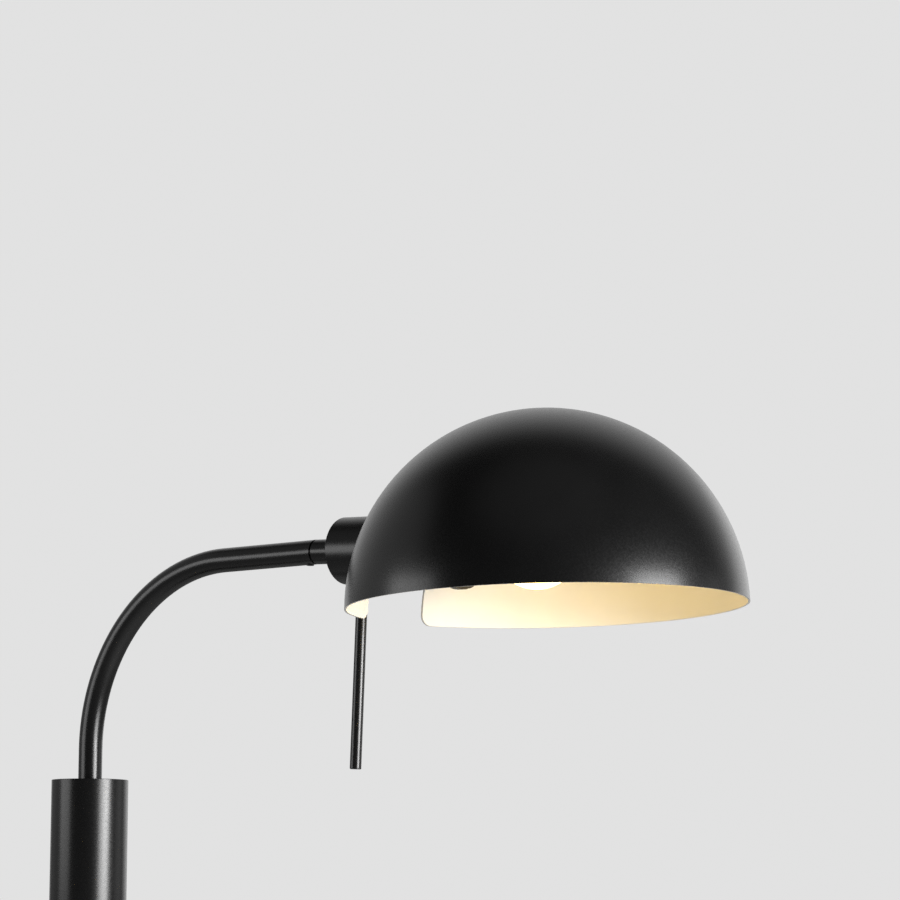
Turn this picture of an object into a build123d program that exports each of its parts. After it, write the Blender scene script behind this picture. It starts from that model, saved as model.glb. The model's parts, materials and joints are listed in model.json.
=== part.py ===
from build123d import *
from math import acos, asin, cos, degrees, radians, sin, sqrt, tan
import os

# Bedside wall reading lamp: an upright base tube on a wall plate, a bent swinging arm, and a head
# with a drum, a lampholder and a domed shade, turned by the rod under the drum.
# Frame: origin at the centre of the wall plate's back face, the wall is the plane y = 0,
# the lamp stands out along -Y, and +Z is up. Lengths are in millimetres, angles in degrees.

# Clearances
RUN_CLEARANCE = 0.05        # radial or axial, between pieces that turn on each other
SLIP_CLEARANCE = 0.1        # radial, between fixed pieces that are slid together
LOOSE_CLEARANCE = 0.3       # round pieces that only pass each other
CUT_MARGIN = 1.0            # how far a cutting shape runs past the face that it opens

DIAGONAL = sin(radians(45))  # both steps, in radii, to the middle of a quarter turn

# Base
BASE_DIAMETER = 42.0
BASE_WALL = 1.5
BASE_ABOVE_HOUSING = 70.0
BASE_BELOW_HOUSING = 12.0
WALL_TO_BASE_AXIS = 33.0
CAP_THICKNESS = 5.0
CAP_SCREW_ANGLE = 62.0      # of the cap screws, from square to the side towards the wall
EDGE_BREAK = 0.4            # small chamfer on turned and cut edges
INLET_HOLE_DIAMETER = 11.0
GROMMET_BORE = 7.5
GROMMET_LIP = 1.5

# Fixing to the wall
HOUSING_WIDTH = 30.0
HOUSING_HEIGHT = 68.0
HOUSING_WALL = 1.5
PLATE_THICKNESS = 2.0
PLATE_SIDE_GAP = 0.4
LUG_DEPTH = 11.0
MOUNT_HOLE_DIAMETER = 5.0
MOUNT_HOLE_SPACING = 44.0
PLATE_CABLE_HOLE = 16.0
CORNER_RADIUS = 3.0

# Fasteners. The shares are of a screw's thread, of its head's height or of its length.
SOCKET_SHARE = 0.33         # corner radius of the hexagon socket, of the thread's diameter
SOCKET_DEPTH_SHARE = 0.5
HEAD_RIM_SHARE = 0.45       # straight side of a head
HEAD_CROWN_SHARE = 0.4      # inward slope of a head's crown
HOUSING_SCREW = dict(thread=4.0, head=7.0, head_height=2.4, length=8.0)
GRUB_SCREW = dict(thread=3.0, length=4.0)
CHASSIS_SCREW = dict(thread=3.0, head=5.5, head_height=2.0, length=4.0)
EARTH_SCREW = dict(thread=4.0, head=7.0, head_height=2.4, length=3.5)
SMALL_NUT = dict(thread=4.0, flats=7.0, height=3.2)
SPINDLE_NUT = dict(thread=10.0, flats=14.0, height=4.5)

# Arm
ARM_DIAMETER = 13.0
ARM_WALL = 1.0
ARM_BEND_RADIUS = 98.0
ARM_AXIS_ABOVE_BASE = 114.9  # level part of the arm above the top of the base
SEAM_REACH = 162.5           # from the base's axis to the seam where the head turns
CABLE_DIAMETER = 5.0
CABLE_TAIL = 1.5            # cable that stands out of the pivot's lower end
LEAD_DIAMETER = 2.2
LEAD_SPACING = 2.6          # of two leads side by side
HEAD_LEAD_SPACING = 6.8     # where they enter the lampholder
LEAD_STRAIGHT = 5.0         # straight length of a lead at its ends
LEAD_BEND = 4.0

# Arm pivot in the top of the base
BUSH_WALL = 1.45
BUSH_LENGTH = 17.0
THRUST_WASHER_THICKNESS = 1.0
BOSS_DIAMETER = 26.0
BOSS_FLOOR = 8.0
PIVOT_PLUG_LENGTH = 12.0
PIVOT_BORE = 7.0
SPRING_WASHER_DIAMETER = 16.4
SPRING_WASHER_THICKNESS = 0.8
SPRING_WASHER_CONE = 0.5
TAB_WASHER_THICKNESS = 1.5
TAB_WASHER_DIAMETER = 17.0
TAB_WIDTH = 5.0
TAB_DIRECTION = -90.0       # about the base's axis, away from the wall at rest
SECOND_NUT_TURN = 30.0      # of the lower pivot nut against the upper one
SKIRT_WALL = 4.0
SKIRT_DEPTH = 6.0
THREAD_SPARE = 3.0          # thread that shows past the last nut
ARM_SWING = 75.0            # each way from square to the wall
STOP_SLACK = 1.0            # degrees left between a stop and its tab or tip at the limit

# Head swivel
HEAD_DROOP = 2.4            # degrees that the swivel's bore dips below the level end of the arm
FRICTION_WASHER_DIAMETER = 11.4
FRICTION_WASHER_THICKNESS = 1.0
SWIVEL_SHAFT_DIAMETER = 8.5
SWIVEL_SHAFT_LENGTH = 12.0
SWIVEL_BORE = 5.4
SWIVEL_COLLAR_LENGTH = 19.4
SWIVEL_THREAD_LENGTH = 10.5
FITTING_LENGTH = 14.0
STOP_SCREW_SETBACK = 4.0    # from the seam to the stop screw
STOP_SCREW_HEAD = 4.4
STOP_SCREW_HEAD_HEIGHT = 1.0
STOP_SCREW_THREAD = 3.0
STOP_SCREW_TIP = 2.4
STOP_GROOVE_DEPTH = 0.8
STOP_DIRECTION = -90.0      # about the swivel's axis, straight down
HEAD_ROLL = 80.0            # each way from the shade facing down

# Drum
DRUM_DIAMETER = 35.0
DRUM_WALL = 1.2
DRUM_END_WALL = 2.0
DRUM_LENGTH = 72.0
LOCK_WASHER_DIAMETER = 16.0
LOCK_WASHER_THICKNESS = 1.0
FRONT_DISC_THICKNESS = 2.0

# Handle rod
ROD_DIAMETER = 6.0
ROD_SETBACK = 12.0          # from the drum's outer end to the rod's axis
ROD_REACH = 112.8           # from the drum's axis to the rod's free end
ROD_STUD_LENGTH = 5.5

# Lampholder, small Edison screw
HOLDER_THREAD_DIAMETER = 28.0
HOLDER_FRONT = 88.0         # from the drum's outer end
HOLDER_FLANGE_DIAMETER = 31.5
HOLDER_FLANGE_THICKNESS = 2.0
HOLDER_CAP_DIAMETER = 24.0
HOLDER_CAP_LENGTH = 15.0
HOLDER_CAP_WALL = 2.2
HOLDER_CAP_CORNER = 3.0
HOLDER_BODY_LENGTH = 29.0
SHELL_BORE = 14.3
SHELL_WALL = 0.6
SHELL_LENGTH = 16.0
MOUTH_DIAMETER = 19.0
CONTACT_THICKNESS = 0.8
HOLDER_WELL_GAP = 1.0
RING_DIAMETER = 43.0
RING_LENGTH = 7.0
RING_FLANGE_LENGTH = 3.9
RING_STEP = 3.0             # of the narrow front over the thread
RING_TAPER = 1.5
RING_RIBS = 24
RING_RIB_RADIUS = 0.9

# Bulb, 45 mm golf-ball shape with a 14 mm screw cap
GLOBE_DIAMETER = 45.0
BULB_LENGTH = 80.0
BULB_CAP_DIAMETER = 13.9
BULB_CAP_LENGTH = 19.0
BULB_TIP_DIAMETER = 6.0
BULB_TIP_HEIGHT = 2.0
BULB_NECK_DIAMETER = 18.0
BULB_COLLAR_LENGTH = 5.0     # straight glass ahead of the cap
BULB_FLARE_LENGTH = 6.0
BULB_JOIN_ANGLE = 40.0       # on the globe, where the neck runs into it
BULB_CENTRE = 123.6         # from the drum's outer end to the centre of the globe

# Shade
SHADE_DIAMETER = 200.0
SHADE_WALL = 1.0
SHADE_RIM_RISE = 1.8        # the rim lies this far above the sphere's centre
DRUM_SHOWN = 36.8           # length of the drum's axis outside the shade
SHADE_CENTRE_DROP = 32.9    # from the drum's axis down to the sphere's centre
SHADE_LIFT = 3.9            # degrees that the shade's front is set up against the drum's axis
NOTCH_WIDTH = 44.0
NOTCH_CORNER = 5.5

# Shade carrier
CARRIER_THICKNESS = 1.5
CARRIER_RING_DIAMETER = 41.0
CARRIER_STRAP_WIDTH = 18.0
CARRIER_BEND_RADIUS = 5.0
PAD_LEAD = 13.2             # of the pad's middle, ahead of the strap's upright part
PAD_STANDOFF = 2.0
PAD_AHEAD = 13.0            # pad length ahead of its middle
STUD_SPACING = 13.0
STUD_DIAMETER = 4.0
STUD_SPARE = 1.0            # past its nut
STUD_SHOULDER_DIAMETER = 6.5

# Switch and terminals in the base
SWITCH_BODY_DIAMETER = 16.0
SWITCH_BODY_LENGTH = 15.0
SWITCH_COLLAR_DIAMETER = 12.0
SWITCH_COLLAR_STANDOUT = 3.5
SWITCH_NUT_FLATS = 15.0
SWITCH_NUT_HEIGHT = 2.5
BUTTON_DIAMETER = 9.0
BUTTON_STANDOUT = 4.0
BUTTON_TRAVEL = 2.5
BUTTON_STEM_LENGTH = 6.0
BUTTON_CROWN_RADIUS = 9.0
SWITCH_TAG = dict(width=4.8, thickness=0.8, length=6.0, spacing=8.0, hole=1.6)
CHASSIS_THICKNESS = 1.5
CHASSIS_WIDTH = 20.0
CHASSIS_FACE_OFFSET = 8.5   # front face of the chassis behind the base's axis
CHASSIS_FOOT_LENGTH = 6.5
CHASSIS_FOOT_WIDTH = 15.0
TERMINAL_SIZE = (27.0, 12.0, 18.0)
TERMINAL_ABOVE_INLET = 6.5  # from the edge of the inlet hole to the block
TERMINAL_PITCH = 8.6
TERMINAL_CORNER = 1.0
TERMINAL_VALLEY_WIDTH = 1.2  # of the grooves between the poles
TERMINAL_VALLEY_DEPTH = 3.6
TERMINAL_WIRE_HOLE = 3.4
TERMINAL_WIRE_DEPTH = 8.0
TERMINAL_WIRE_SETBACK = 5.4  # of the wire holes, from the block's back face
TERMINAL_SCREW_DIAMETER = 3.4
TERMINAL_FIXING_SINK = 4.0  # of the fixing screws' seats, below the block's front face
TERMINAL_SCREW_SINK = 1.0   # below the block's front face
TERMINAL_SCREW_ROW = 5.0    # screw rows above and below the middle of the block
EARTH_SCREW_ABOVE_TAGS = 2.5
SCREW_SLOT_WIDTH = 0.7
SCREW_SLOT_DEPTH = 0.8
CHASSIS_ABOVE_BLOCK = 4.0

# ---------------------------------------------------------------------------------------------
# Derived places
BASE_RADIUS = BASE_DIAMETER / 2
BASE_INNER_RADIUS = BASE_RADIUS - BASE_WALL
BASE_TOP = HOUSING_HEIGHT / 2 + BASE_ABOVE_HOUSING
BASE_BOTTOM = -HOUSING_HEIGHT / 2 - BASE_BELOW_HOUSING
BASE_HEIGHT = BASE_TOP - BASE_BOTTOM
BASE = Pos(0, -WALL_TO_BASE_AXIS, 0)
CAP_RADIUS = BASE_INNER_RADIUS - SLIP_CLEARANCE

ARM_RADIUS = ARM_DIAMETER / 2
ARM_BORE_RADIUS = ARM_RADIUS - ARM_WALL
ARM_AXIS_HEIGHT = BASE_TOP + ARM_AXIS_ABOVE_BASE
ARM_FOOT = BASE_TOP - BUSH_LENGTH
BUSH_OUTER_RADIUS = ARM_RADIUS + RUN_CLEARANCE + BUSH_WALL
STEP_HEIGHT = ARM_FOOT - RUN_CLEARANCE - THRUST_WASHER_THICKNESS
BOSS_UNDERSIDE = STEP_HEIGHT - BOSS_FLOOR
PIVOT_RADIUS = SPINDLE_NUT["thread"] / 2
SPRING_WASHER_HEIGHT = SPRING_WASHER_THICKNESS + SPRING_WASHER_CONE
TAB_WASHER_TOP = BOSS_UNDERSIDE - SPRING_WASHER_HEIGHT - RUN_CLEARANCE
PIVOT_NUT_TOP = TAB_WASHER_TOP - TAB_WASHER_THICKNESS
PIVOT_NUT_BOTTOM = PIVOT_NUT_TOP - 2 * SPINDLE_NUT["height"]
PIVOT_END = PIVOT_NUT_BOTTOM - THREAD_SPARE
SKIRT_INNER_RADIUS = BOSS_DIAMETER / 2 - SKIRT_WALL

SWITCH_TAG_TOP = BASE_BOTTOM + CAP_THICKNESS + SWITCH_BODY_LENGTH + SWITCH_TAG["length"]
EARTH_SCREW_HEIGHT = SWITCH_TAG_TOP + EARTH_SCREW_ABOVE_TAGS + EARTH_SCREW["head"] / 2
TERMINAL_BOTTOM = INLET_HOLE_DIAMETER / 2 + TERMINAL_ABOVE_INLET
TERMINAL_TOP = TERMINAL_BOTTOM + TERMINAL_SIZE[2]
TERMINAL_MIDDLE = (TERMINAL_BOTTOM + TERMINAL_TOP) / 2
CHASSIS_TOP = TERMINAL_TOP + CHASSIS_ABOVE_BLOCK
TERMINAL_WIRE_OFFSET = CHASSIS_FACE_OFFSET - TERMINAL_WIRE_SETBACK
TERMINAL_FIXING_LENGTH = TERMINAL_SIZE[1] - TERMINAL_FIXING_SINK + CHASSIS_THICKNESS
TERMINAL_SCREW_LENGTH = (
    TERMINAL_SIZE[1] - TERMINAL_WIRE_SETBACK - TERMINAL_SCREW_SINK - LEAD_DIAMETER / 2
)

# Head frame: origin at the centre of the seam, x across, y up, z forward along the drum's axis
SEAM_POINT = (0, -WALL_TO_BASE_AXIS - SEAM_REACH, ARM_AXIS_HEIGHT)
HEAD_FORWARD = (0, -cos(radians(HEAD_DROOP)), -sin(radians(HEAD_DROOP)))
STOP_SCREW_SEAT = sqrt(ARM_RADIUS**2 - (STOP_SCREW_HEAD / 2) ** 2)
HEAD = Plane(origin=SEAM_POINT, x_dir=(1, 0, 0), z_dir=HEAD_FORWARD).location
SWIVEL_COLLAR_START = FRICTION_WASHER_THICKNESS + RUN_CLEARANCE
DRUM_START = SWIVEL_COLLAR_START + SWIVEL_COLLAR_LENGTH
DRUM = HEAD * Pos(0, 0, DRUM_START)
DRUM_RADIUS = DRUM_DIAMETER / 2
DRUM_INNER_RADIUS = DRUM_RADIUS - DRUM_WALL
SWIVEL_RADIUS = SWIVEL_SHAFT_DIAMETER / 2

HOLDER_THREAD_RADIUS = HOLDER_THREAD_DIAMETER / 2
HOLDER_BACK = HOLDER_FRONT - HOLDER_BODY_LENGTH
HOLDER_CAP_BACK = HOLDER_BACK - HOLDER_CAP_LENGTH
CARRIER_BACK = DRUM_LENGTH
RING_BACK = CARRIER_BACK + CARRIER_THICKNESS
BULB_BACK = BULB_CENTRE + GLOBE_DIAMETER / 2 - BULB_LENGTH
BULB_NECK_START = BULB_BACK + BULB_CAP_LENGTH
SHELL_RADIUS = SHELL_BORE / 2 + SHELL_WALL

# Shade frame: origin at the sphere's centre, z up along the shade's axis, y back to the drum
SHADE_RADIUS = SHADE_DIAMETER / 2
SHADE_INNER_RADIUS = SHADE_RADIUS - SHADE_WALL
SHADE_CENTRE_REACH = DRUM_SHOWN + sqrt(SHADE_RADIUS**2 - SHADE_CENTRE_DROP**2)
SHADE_UP = Vector(0, cos(radians(SHADE_LIFT)), -sin(radians(SHADE_LIFT)))
SHADE = DRUM * Plane(
    origin=(0, -SHADE_CENTRE_DROP, SHADE_CENTRE_REACH), x_dir=(1, 0, 0), z_dir=SHADE_UP
).location
NOTCH_CENTRE_HEIGHT = (
    SHADE_CENTRE_DROP * cos(radians(SHADE_LIFT))
    + (SHADE_CENTRE_REACH - DRUM_SHOWN) * sin(radians(SHADE_LIFT))
)

# Pad frame, in the drum's frame: y outward square to the pad, z forward along it
CARRIER_MIDDLE = CARRIER_BACK + CARRIER_THICKNESS / 2
PAD_RADIUS = SHADE_INNER_RADIUS - PAD_STANDOFF - CARRIER_THICKNESS / 2
PAD_ANGLE = degrees(acos((SHADE_CENTRE_REACH - CARRIER_MIDDLE - PAD_LEAD) / PAD_RADIUS))
PAD_OUT = Vector(0, sin(radians(PAD_ANGLE)), -cos(radians(PAD_ANGLE)))
PAD_FORWARD = Vector(0, cos(radians(PAD_ANGLE)), sin(radians(PAD_ANGLE)))
SHADE_CENTRE = Vector(0, -SHADE_CENTRE_DROP, SHADE_CENTRE_REACH)
PAD_MIDDLE = SHADE_CENTRE + PAD_OUT * PAD_RADIUS

# ---------------------------------------------------------------------------------------------
# Shapes that repeat


def turned(points):
    """Solid of revolution about Z from (radius, height) corners."""
    outline = Polyline([(radius, 0, height) for radius, height in points], close=True)
    return revolve(make_face(outline), Axis.Z)


def rod(radius, low, high, bore=0.0, edge=0.0):
    """Round bar or tube along Z between two heights, with broken outer edges."""
    outer = [(radius, low + edge), (radius, high - edge)]
    if edge:
        outer = [(radius - edge, low)] + outer + [(radius - edge, high)]
    return turned([(bore, low)] + [p for p in outer if p[0] > bore] + [(bore, high)])


def sector(outer, inner, low, high, middle, half_angle):
    """Part of a ring about Z, half_angle to each side of the direction middle."""
    ring = make_face(Polyline([(inner, 0, low), (outer, 0, low), (outer, 0, high), (inner, 0, high)],
                              close=True))
    return Rot(0, 0, middle - half_angle) * revolve(ring, Axis.Z, 2 * half_angle)


def hex_nut(flats, height, bore):
    """Hexagon nut standing on z = 0, with its corners turned off."""
    corner = flats / sqrt(3)
    blank = extrude(RegularPolygon(corner, 6), height)
    face = corner - 2 * EDGE_BREAK
    cone = turned([(0, 0), (face, 0), (corner, EDGE_BREAK), (corner, height - EDGE_BREAK), (face, height),
                   (0, height)])
    return (blank & cone) - rod(bore, 0, height)


def hex_socket(thread, height):
    """Socket cutter down from z = 0, sized for a screw's thread and its head or body."""
    return extrude(RegularPolygon(thread * SOCKET_SHARE, 6), -height * SOCKET_DEPTH_SHARE)


def pan_screw(thread, head, head_height, length):
    """Screw along -Z, its head standing on z = 0, with a hexagon socket."""
    crown = head / 2 - head_height * HEAD_CROWN_SHARE
    profile = [(0, -length), (thread / 2, -length), (thread / 2, 0), (head / 2, 0),
               (head / 2, head_height * HEAD_RIM_SHARE), (crown, head_height), (0, head_height)]
    return turned(profile) - Pos(0, 0, head_height) * hex_socket(thread, head_height)


def grub_screw(thread, length):
    """Headless screw from z = 0 down, with a hexagon socket in its top."""
    return rod(thread / 2, -length, 0) - hex_socket(thread, length)


def wire(points, radius, diameter):
    """Round wire along straight runs joined by arcs."""
    path = FilletPolyline(*points, radius=radius)
    start = Plane(origin=path @ 0, z_dir=path % 0)
    return sweep(start * Circle(diameter / 2), path=path)


# ---------------------------------------------------------------------------------------------
# Wall fixing and base


def make_wall_plate():
    """Plate with its ends bent out from the wall, where the housing's screws enter."""
    width = HOUSING_WIDTH - 2 * (HOUSING_WALL + PLATE_SIDE_GAP)
    lug_face = HOUSING_HEIGHT / 2 - HOUSING_WALL - PLATE_SIDE_GAP
    outline = Rot(90, 0, 0) * RectangleRounded(width, 2 * lug_face, CORNER_RADIUS - HOUSING_WALL)
    blank = extrude(outline, LUG_DEPTH)
    hollow = Pos(0, -PLATE_THICKNESS - LUG_DEPTH / 2, 0) * Box(
        2 * width, LUG_DEPTH, 2 * (lug_face - PLATE_THICKNESS))
    plate = blank - hollow
    across = Rot(90, 0, 0)
    for height in (-MOUNT_HOLE_SPACING / 2, MOUNT_HOLE_SPACING / 2):
        plate -= Pos(0, 0, height) * across * rod(MOUNT_HOLE_DIAMETER / 2, 0, PLATE_THICKNESS)
    plate -= across * rod(PLATE_CABLE_HOLE / 2, 0, PLATE_THICKNESS)
    for side in (-1, 1):
        hole = rod(HOUSING_SCREW["thread"] / 2, -PLATE_THICKNESS, PLATE_THICKNESS)
        plate -= Pos(0, housing_screw_y(), side * lug_face) * hole
    return plate


def housing_screw_y():
    return -(PLATE_THICKNESS + LUG_DEPTH) / 2


def make_back_housing():
    depth = WALL_TO_BASE_AXIS
    outline = RectangleRounded(HOUSING_WIDTH, HOUSING_HEIGHT, CORNER_RADIUS)
    inner = RectangleRounded(HOUSING_WIDTH - 2 * HOUSING_WALL, HOUSING_HEIGHT - 2 * HOUSING_WALL,
                             CORNER_RADIUS - HOUSING_WALL)
    sleeve = Rot(90, 0, 0) * extrude(outline - inner, depth)
    sleeve = sleeve - BASE * rod(BASE_RADIUS, BASE_BOTTOM, BASE_TOP)
    front = Pos(0, -depth / 2 - WALL_TO_BASE_AXIS, 0) * Box(HOUSING_WIDTH, depth, HOUSING_HEIGHT)
    sleeve = sleeve - front
    gap = Box(HOUSING_WIDTH, 2 * LOOSE_CLEARANCE, HOUSING_HEIGHT)
    sleeve = sleeve - gap
    for side in (-1, 1):
        hole = rod(HOUSING_SCREW["thread"] / 2 + SLIP_CLEARANCE, -HOUSING_WALL, HOUSING_WALL)
        sleeve -= Pos(0, housing_screw_y(), side * (HOUSING_HEIGHT / 2)) * hole
    return sleeve


def make_housing_screws():
    screw = Pos(0, housing_screw_y(), HOUSING_HEIGHT / 2) * pan_screw(**HOUSING_SCREW)
    return [screw, mirror(screw, Plane.XY)]


def cap_screw_places():
    """Four grub screws in the back half of the base tube, two for each cap."""
    for height in (BASE_TOP - CAP_THICKNESS / 2, BASE_BOTTOM + CAP_THICKNESS / 2):
        for angle in (CAP_SCREW_ANGLE, 180 - CAP_SCREW_ANGLE):
            yield BASE * Rot(0, 0, angle) * Pos(BASE_RADIUS, 0, height) * Rot(0, 90, 0)


def make_base_tube():
    tube = rod(BASE_RADIUS, BASE_BOTTOM, BASE_TOP, BASE_INNER_RADIUS, EDGE_BREAK / 2)
    tube = BASE * tube
    for place in cap_screw_places():
        tube -= place * rod(GRUB_SCREW["thread"] / 2, -GRUB_SCREW["length"], CUT_MARGIN)
    inlet = Rot(90, 0, 0) * rod(INLET_HOLE_DIAMETER / 2, 0, WALL_TO_BASE_AXIS)
    return tube - inlet


def make_inlet_grommet():
    bore = GROMMET_BORE / 2
    hole = INLET_HOLE_DIAMETER / 2
    lip = hole + GROMMET_LIP
    outside = BASE_RADIUS
    inside = sqrt(BASE_INNER_RADIUS**2 - lip**2)
    body = turned([(bore, inside - GROMMET_LIP), (lip, inside - GROMMET_LIP), (lip, inside), (hole, inside),
                   (hole, outside), (lip, outside), (lip, outside + GROMMET_LIP),
                   (bore, outside + GROMMET_LIP)])
    return BASE * Rot(-90, 0, 0) * body


def make_cap_screws():
    flush = BASE_RADIUS - sqrt(BASE_RADIUS**2 - (GRUB_SCREW["thread"] / 2) ** 2)
    return [place * Pos(0, 0, -flush) * grub_screw(**GRUB_SCREW) for place in cap_screw_places()]


def cap_screw_sockets(cap):
    for place in cap_screw_places():
        cap -= place * rod(GRUB_SCREW["thread"] / 2, -GRUB_SCREW["length"] - EDGE_BREAK, 0)
    return cap


def make_top_cap():
    boss = BOSS_DIAMETER / 2
    shaft = PIVOT_RADIUS + RUN_CLEARANCE
    skirt_bottom = BOSS_UNDERSIDE - SKIRT_DEPTH
    cap = turned([
        (shaft, BOSS_UNDERSIDE), (SKIRT_INNER_RADIUS, BOSS_UNDERSIDE), (SKIRT_INNER_RADIUS, skirt_bottom),
        (boss, skirt_bottom), (boss, BASE_TOP - CAP_THICKNESS), (CAP_RADIUS, BASE_TOP - CAP_THICKNESS),
        (CAP_RADIUS, BASE_TOP - EDGE_BREAK), (CAP_RADIUS - EDGE_BREAK, BASE_TOP),
        (BUSH_OUTER_RADIUS, BASE_TOP), (BUSH_OUTER_RADIUS, STEP_HEIGHT), (shaft, STEP_HEIGHT),
    ])
    window = sector(boss + CUT_MARGIN, SKIRT_INNER_RADIUS - CUT_MARGIN, skirt_bottom - CUT_MARGIN,
                    BOSS_UNDERSIDE, TAB_DIRECTION, stop_window_half_angle())
    return cap_screw_sockets(BASE * (cap - window))


def stop_window_half_angle():
    return ARM_SWING + degrees(asin(TAB_WIDTH / 2 / SKIRT_INNER_RADIUS)) + STOP_SLACK


def make_arm_bushing():
    return BASE * rod(BUSH_OUTER_RADIUS, ARM_FOOT, BASE_TOP, ARM_RADIUS + RUN_CLEARANCE)


def make_thrust_washer():
    return BASE * rod(BUSH_OUTER_RADIUS - SLIP_CLEARANCE, STEP_HEIGHT, ARM_FOOT - RUN_CLEARANCE,
                      PIVOT_RADIUS + SLIP_CLEARANCE)


def make_spring_washer():
    bore = PIVOT_RADIUS + SLIP_CLEARANCE
    outer = SPRING_WASHER_DIAMETER / 2
    low = BOSS_UNDERSIDE - SPRING_WASHER_HEIGHT
    return BASE * turned([
        (bore, BOSS_UNDERSIDE), (bore, BOSS_UNDERSIDE - SPRING_WASHER_THICKNESS), (outer, low),
        (outer, low + SPRING_WASHER_THICKNESS),
    ])


def make_bottom_cap():
    low = BASE_BOTTOM
    cap = turned([
        (SWITCH_COLLAR_DIAMETER / 2 + SLIP_CLEARANCE, low), (CAP_RADIUS - EDGE_BREAK, low),
        (CAP_RADIUS, low + EDGE_BREAK), (CAP_RADIUS, low + CAP_THICKNESS),
        (SWITCH_COLLAR_DIAMETER / 2 + SLIP_CLEARANCE, low + CAP_THICKNESS),
    ])
    cap = BASE * cap
    cap -= chassis_screw_place() * rod(CHASSIS_SCREW["thread"] / 2, -CHASSIS_SCREW["length"], 0)
    return cap_screw_sockets(cap)


# ---------------------------------------------------------------------------------------------
# Terminals and switch


def chassis_screw_place():
    foot_middle = CHASSIS_FACE_OFFSET + CHASSIS_THICKNESS + CHASSIS_FOOT_LENGTH / 2
    return BASE * Pos(0, foot_middle, BASE_BOTTOM + CAP_THICKNESS + CHASSIS_THICKNESS)


def make_chassis_plate():
    low = BASE_BOTTOM + CAP_THICKNESS
    height = CHASSIS_TOP - low
    wall = Pos(0, CHASSIS_FACE_OFFSET + CHASSIS_THICKNESS / 2, low + height / 2) * Box(
        CHASSIS_WIDTH, CHASSIS_THICKNESS, height)
    wall = fillet(wall.edges().filter_by(Axis.Y).group_by(Axis.Z)[-1], CORNER_RADIUS)
    foot_y = CHASSIS_FACE_OFFSET + (CHASSIS_THICKNESS + CHASSIS_FOOT_LENGTH) / 2
    foot = Pos(0, foot_y, low + CHASSIS_THICKNESS / 2) * Box(
        CHASSIS_FOOT_WIDTH, CHASSIS_THICKNESS + CHASSIS_FOOT_LENGTH, CHASSIS_THICKNESS)
    plate = BASE * (wall + foot)
    plate -= chassis_screw_place() * rod(CHASSIS_SCREW["thread"] / 2 + SLIP_CLEARANCE, -CHASSIS_THICKNESS, 0)
    plate -= BASE * Rot(-90, 0, 0) * rod(INLET_HOLE_DIAMETER / 2, 0, BASE_RADIUS)
    plate -= earth_screw_place() * rod(EARTH_SCREW["thread"] / 2, -CHASSIS_THICKNESS, 0)
    for place in terminal_fixing_places():
        plate -= place * rod(CHASSIS_SCREW["thread"] / 2, -TERMINAL_FIXING_LENGTH - CUT_MARGIN, 0)
    return plate


def make_chassis_screws():
    """One screw in the chassis's foot, and two through the terminal block."""
    long_screw = pan_screw(**dict(CHASSIS_SCREW, length=TERMINAL_FIXING_LENGTH))
    fixings = [place * long_screw for place in terminal_fixing_places()]
    return [chassis_screw_place() * pan_screw(**CHASSIS_SCREW)] + fixings


def earth_screw_place():
    return BASE * Pos(0, CHASSIS_FACE_OFFSET, EARTH_SCREW_HEIGHT) * Rot(90, 0, 0)


def terminal_fixing_places():
    front = CHASSIS_FACE_OFFSET - TERMINAL_SIZE[1] + TERMINAL_FIXING_SINK
    return [BASE * Pos(side * TERMINAL_PITCH / 2, front, TERMINAL_MIDDLE) * Rot(90, 0, 0) for side in (-1, 1)]


def make_earth_screw():
    return earth_screw_place() * pan_screw(**EARTH_SCREW)


def terminal_poles():
    return [pole * TERMINAL_PITCH for pole in (-1, 0, 1)]


def make_terminal_block():
    width, depth, height = TERMINAL_SIZE
    front = CHASSIS_FACE_OFFSET - depth
    block = Pos(0, front + depth / 2, TERMINAL_MIDDLE) * Box(width, depth, height)
    block = fillet(block.edges().filter_by(Axis.Z).group_by(Axis.Y)[0], TERMINAL_CORNER)
    for x in (-TERMINAL_PITCH / 2, TERMINAL_PITCH / 2):
        valley = Box(TERMINAL_VALLEY_WIDTH, 2 * TERMINAL_VALLEY_DEPTH, height)
        block -= Pos(x, front, TERMINAL_MIDDLE) * valley
    block = BASE * block
    for x in terminal_poles():
        wire_line = BASE * Pos(x, TERMINAL_WIRE_OFFSET, 0)
        hole = TERMINAL_WIRE_HOLE / 2
        block -= wire_line * rod(hole, TERMINAL_TOP - TERMINAL_WIRE_DEPTH, TERMINAL_TOP)
        block -= wire_line * rod(hole, TERMINAL_BOTTOM, TERMINAL_BOTTOM + TERMINAL_WIRE_DEPTH)
    for place in terminal_screw_places():
        block -= place * rod(TERMINAL_SCREW_DIAMETER / 2, -TERMINAL_SCREW_LENGTH, CUT_MARGIN)
    for place in terminal_fixing_places():
        block -= place * rod(CHASSIS_SCREW["head"] / 2 + SLIP_CLEARANCE, 0, depth)
        block -= place * rod(CHASSIS_SCREW["thread"] / 2 + SLIP_CLEARANCE, -depth, 0)
    return block


def terminal_screw_places():
    front = CHASSIS_FACE_OFFSET - TERMINAL_SIZE[1] + TERMINAL_SCREW_SINK
    for x in terminal_poles():
        for row in (-TERMINAL_SCREW_ROW, TERMINAL_SCREW_ROW):
            yield BASE * Pos(x, front, TERMINAL_MIDDLE + row) * Rot(90, 0, 0)


def make_terminal_screws():
    screw = rod(TERMINAL_SCREW_DIAMETER / 2, -TERMINAL_SCREW_LENGTH, 0)
    screw -= Box(TERMINAL_SCREW_DIAMETER, SCREW_SLOT_WIDTH, 2 * SCREW_SLOT_DEPTH)
    return [place * screw for place in terminal_screw_places()]


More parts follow.
